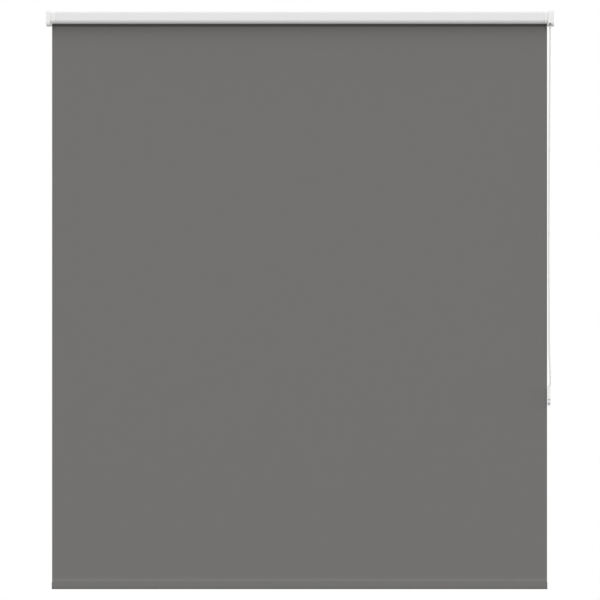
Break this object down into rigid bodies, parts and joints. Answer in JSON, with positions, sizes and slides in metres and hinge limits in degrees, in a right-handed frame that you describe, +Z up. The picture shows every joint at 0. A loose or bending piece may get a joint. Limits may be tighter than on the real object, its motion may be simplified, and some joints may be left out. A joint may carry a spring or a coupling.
{
  "type": "roller blind",
  "caption": "Chain-operated roller blind in a slim white cassette: spring-clip wall brackets, clutch, bead chain with wall tensioner, and a weighted hem on a dark grey fabric.",
  "frame": {"origin": "wall face of the middle bracket, at the height of the roller's axis", "axes": "+X along the width towards the chain, +Y into the wall, +Z up; the front faces -Y"},
  "size_m": [1.3, 0.065, 1.4814],
  "materials": {
    "powder_coat": "white powder coat, satin",
    "white_plastic": "white, fine satin grain",
    "chain_plastic": "off-white, soft gloss",
    "nylon": "natural nylon",
    "grey_plastic": "grey, satin",
    "blind_fabric": "dense plain-weave polyester, matt",
    "bare_aluminium": "mill finish, extruded",
    "zinc_steel": "zinc plated",
    "spring_steel": "dark drawn steel"
  },
  "bodies": {
    "head": {"cassette_profile": "powder_coat", "left_end_cap": "white_plastic", "right_end_cap": "white_plastic", "right_cap_cover": "white_plastic", "bracket_left": "zinc_steel", "bracket_middle": "zinc_steel", "bracket_right": "zinc_steel", "bracket_left_screw_a": "zinc_steel", "bracket_left_screw_b": "zinc_steel", "bracket_middle_screw_a": "zinc_steel", "bracket_middle_screw_b": "zinc_steel", "bracket_right_screw_a": "zinc_steel", "bracket_right_screw_b": "zinc_steel", "clutch_post": "white_plastic", "clutch_retaining_ring": "spring_steel", "chain_guard": "white_plastic", "chain_front_strand": "chain_plastic", "chain_back_strand": "chain_plastic", "chain_sprocket_wrap": "chain_plastic", "chain_tensioner_wrap": "chain_plastic", "tensioner_base": "white_plastic", "tensioner_housing": "white_plastic", "tensioner_axle": "zinc_steel", "tensioner_screw": "zinc_steel", "fabric_panel": "blind_fabric"},
    "roller": {"roller_tube": "bare_aluminium", "fabric_fixing_strip": "grey_plastic", "fabric_roll": "blind_fabric", "idle_plug": "nylon", "idle_bush": "grey_plastic", "idle_spring": "spring_steel", "clutch_drum": "nylon"},
    "sprocket": {"chain_sprocket": "nylon", "wrap_spring_inner": "spring_steel", "wrap_spring_outer": "spring_steel"},
    "chain_wheel": {"tensioner_wheel": "nylon"},
    "idle_end_pin": {"idle_pin": "zinc_steel"},
    "hem": {"hem_pocket": "blind_fabric", "bottom_bar": "bare_aluminium", "bottom_bar_cap_left": "grey_plastic", "bottom_bar_cap_right": "grey_plastic"},
    "latch_left": {"bracket_left_latch": "nylon"},
    "latch_middle": {"bracket_middle_latch": "nylon"},
    "latch_right": {"bracket_right_latch": "nylon"}
  },
  "joints": [
    {"name": "blind_lift", "type": "slide", "parent": "head", "child": "hem", "axis": [0, 0, 1], "range_m": [0, 1.412], "deforming": ["fabric_panel"]},
    {"name": "roller_turn", "type": "hinge", "parent": "head", "child": "roller", "pos_m": [0, -0.021, 0], "axis": [1, 0, 0], "range_deg": [0, 6868.19]},
    {"name": "sprocket_turn", "type": "hinge", "parent": "head", "child": "sprocket", "pos_m": [0.6398, -0.021, 0], "axis": [1, 0, 0], "range_deg": [0, 6868.19], "deforming": ["chain_sprocket_wrap", "chain_front_strand", "chain_back_strand"]},
    {"name": "tensioner_wheel_turn", "type": "hinge", "parent": "head", "child": "chain_wheel", "pos_m": [0.6371, -0.021, -0.954], "axis": [1, 0, 0], "range_deg": [0, 9920.5], "deforming": ["chain_tensioner_wrap"]},
    {"name": "idle_pin_retract", "type": "slide", "parent": "head", "child": "idle_end_pin", "axis": [1, 0, 0], "range_m": [0, 0.004], "stiffness_N_per_m": 400, "springref_m": -0.004, "deforming": ["idle_spring"]},
    {"name": "latch_left_release", "type": "slide", "parent": "head", "child": "latch_left", "axis": [0, 0, 1], "range_m": [0, 0.0022], "stiffness_N_per_m": 1200, "springref_m": -0.001},
    {"name": "latch_middle_release", "type": "slide", "parent": "head", "child": "latch_middle", "axis": [0, 0, 1], "range_m": [0, 0.0022], "stiffness_N_per_m": 1200, "springref_m": -0.001},
    {"name": "latch_right_release", "type": "slide", "parent": "head", "child": "latch_right", "axis": [0, 0, 1], "range_m": [0, 0.0022], "stiffness_N_per_m": 1200, "springref_m": -0.001}
  ],
  "couplings": [
    {"joint": "roller_turn", "follows": "blind_lift", "rad_per_m": 84.889},
    {"joint": "sprocket_turn", "follows": "blind_lift", "rad_per_m": 84.889},
    {"joint": "tensioner_wheel_turn", "follows": "blind_lift", "rad_per_m": 122.62}
  ]
}
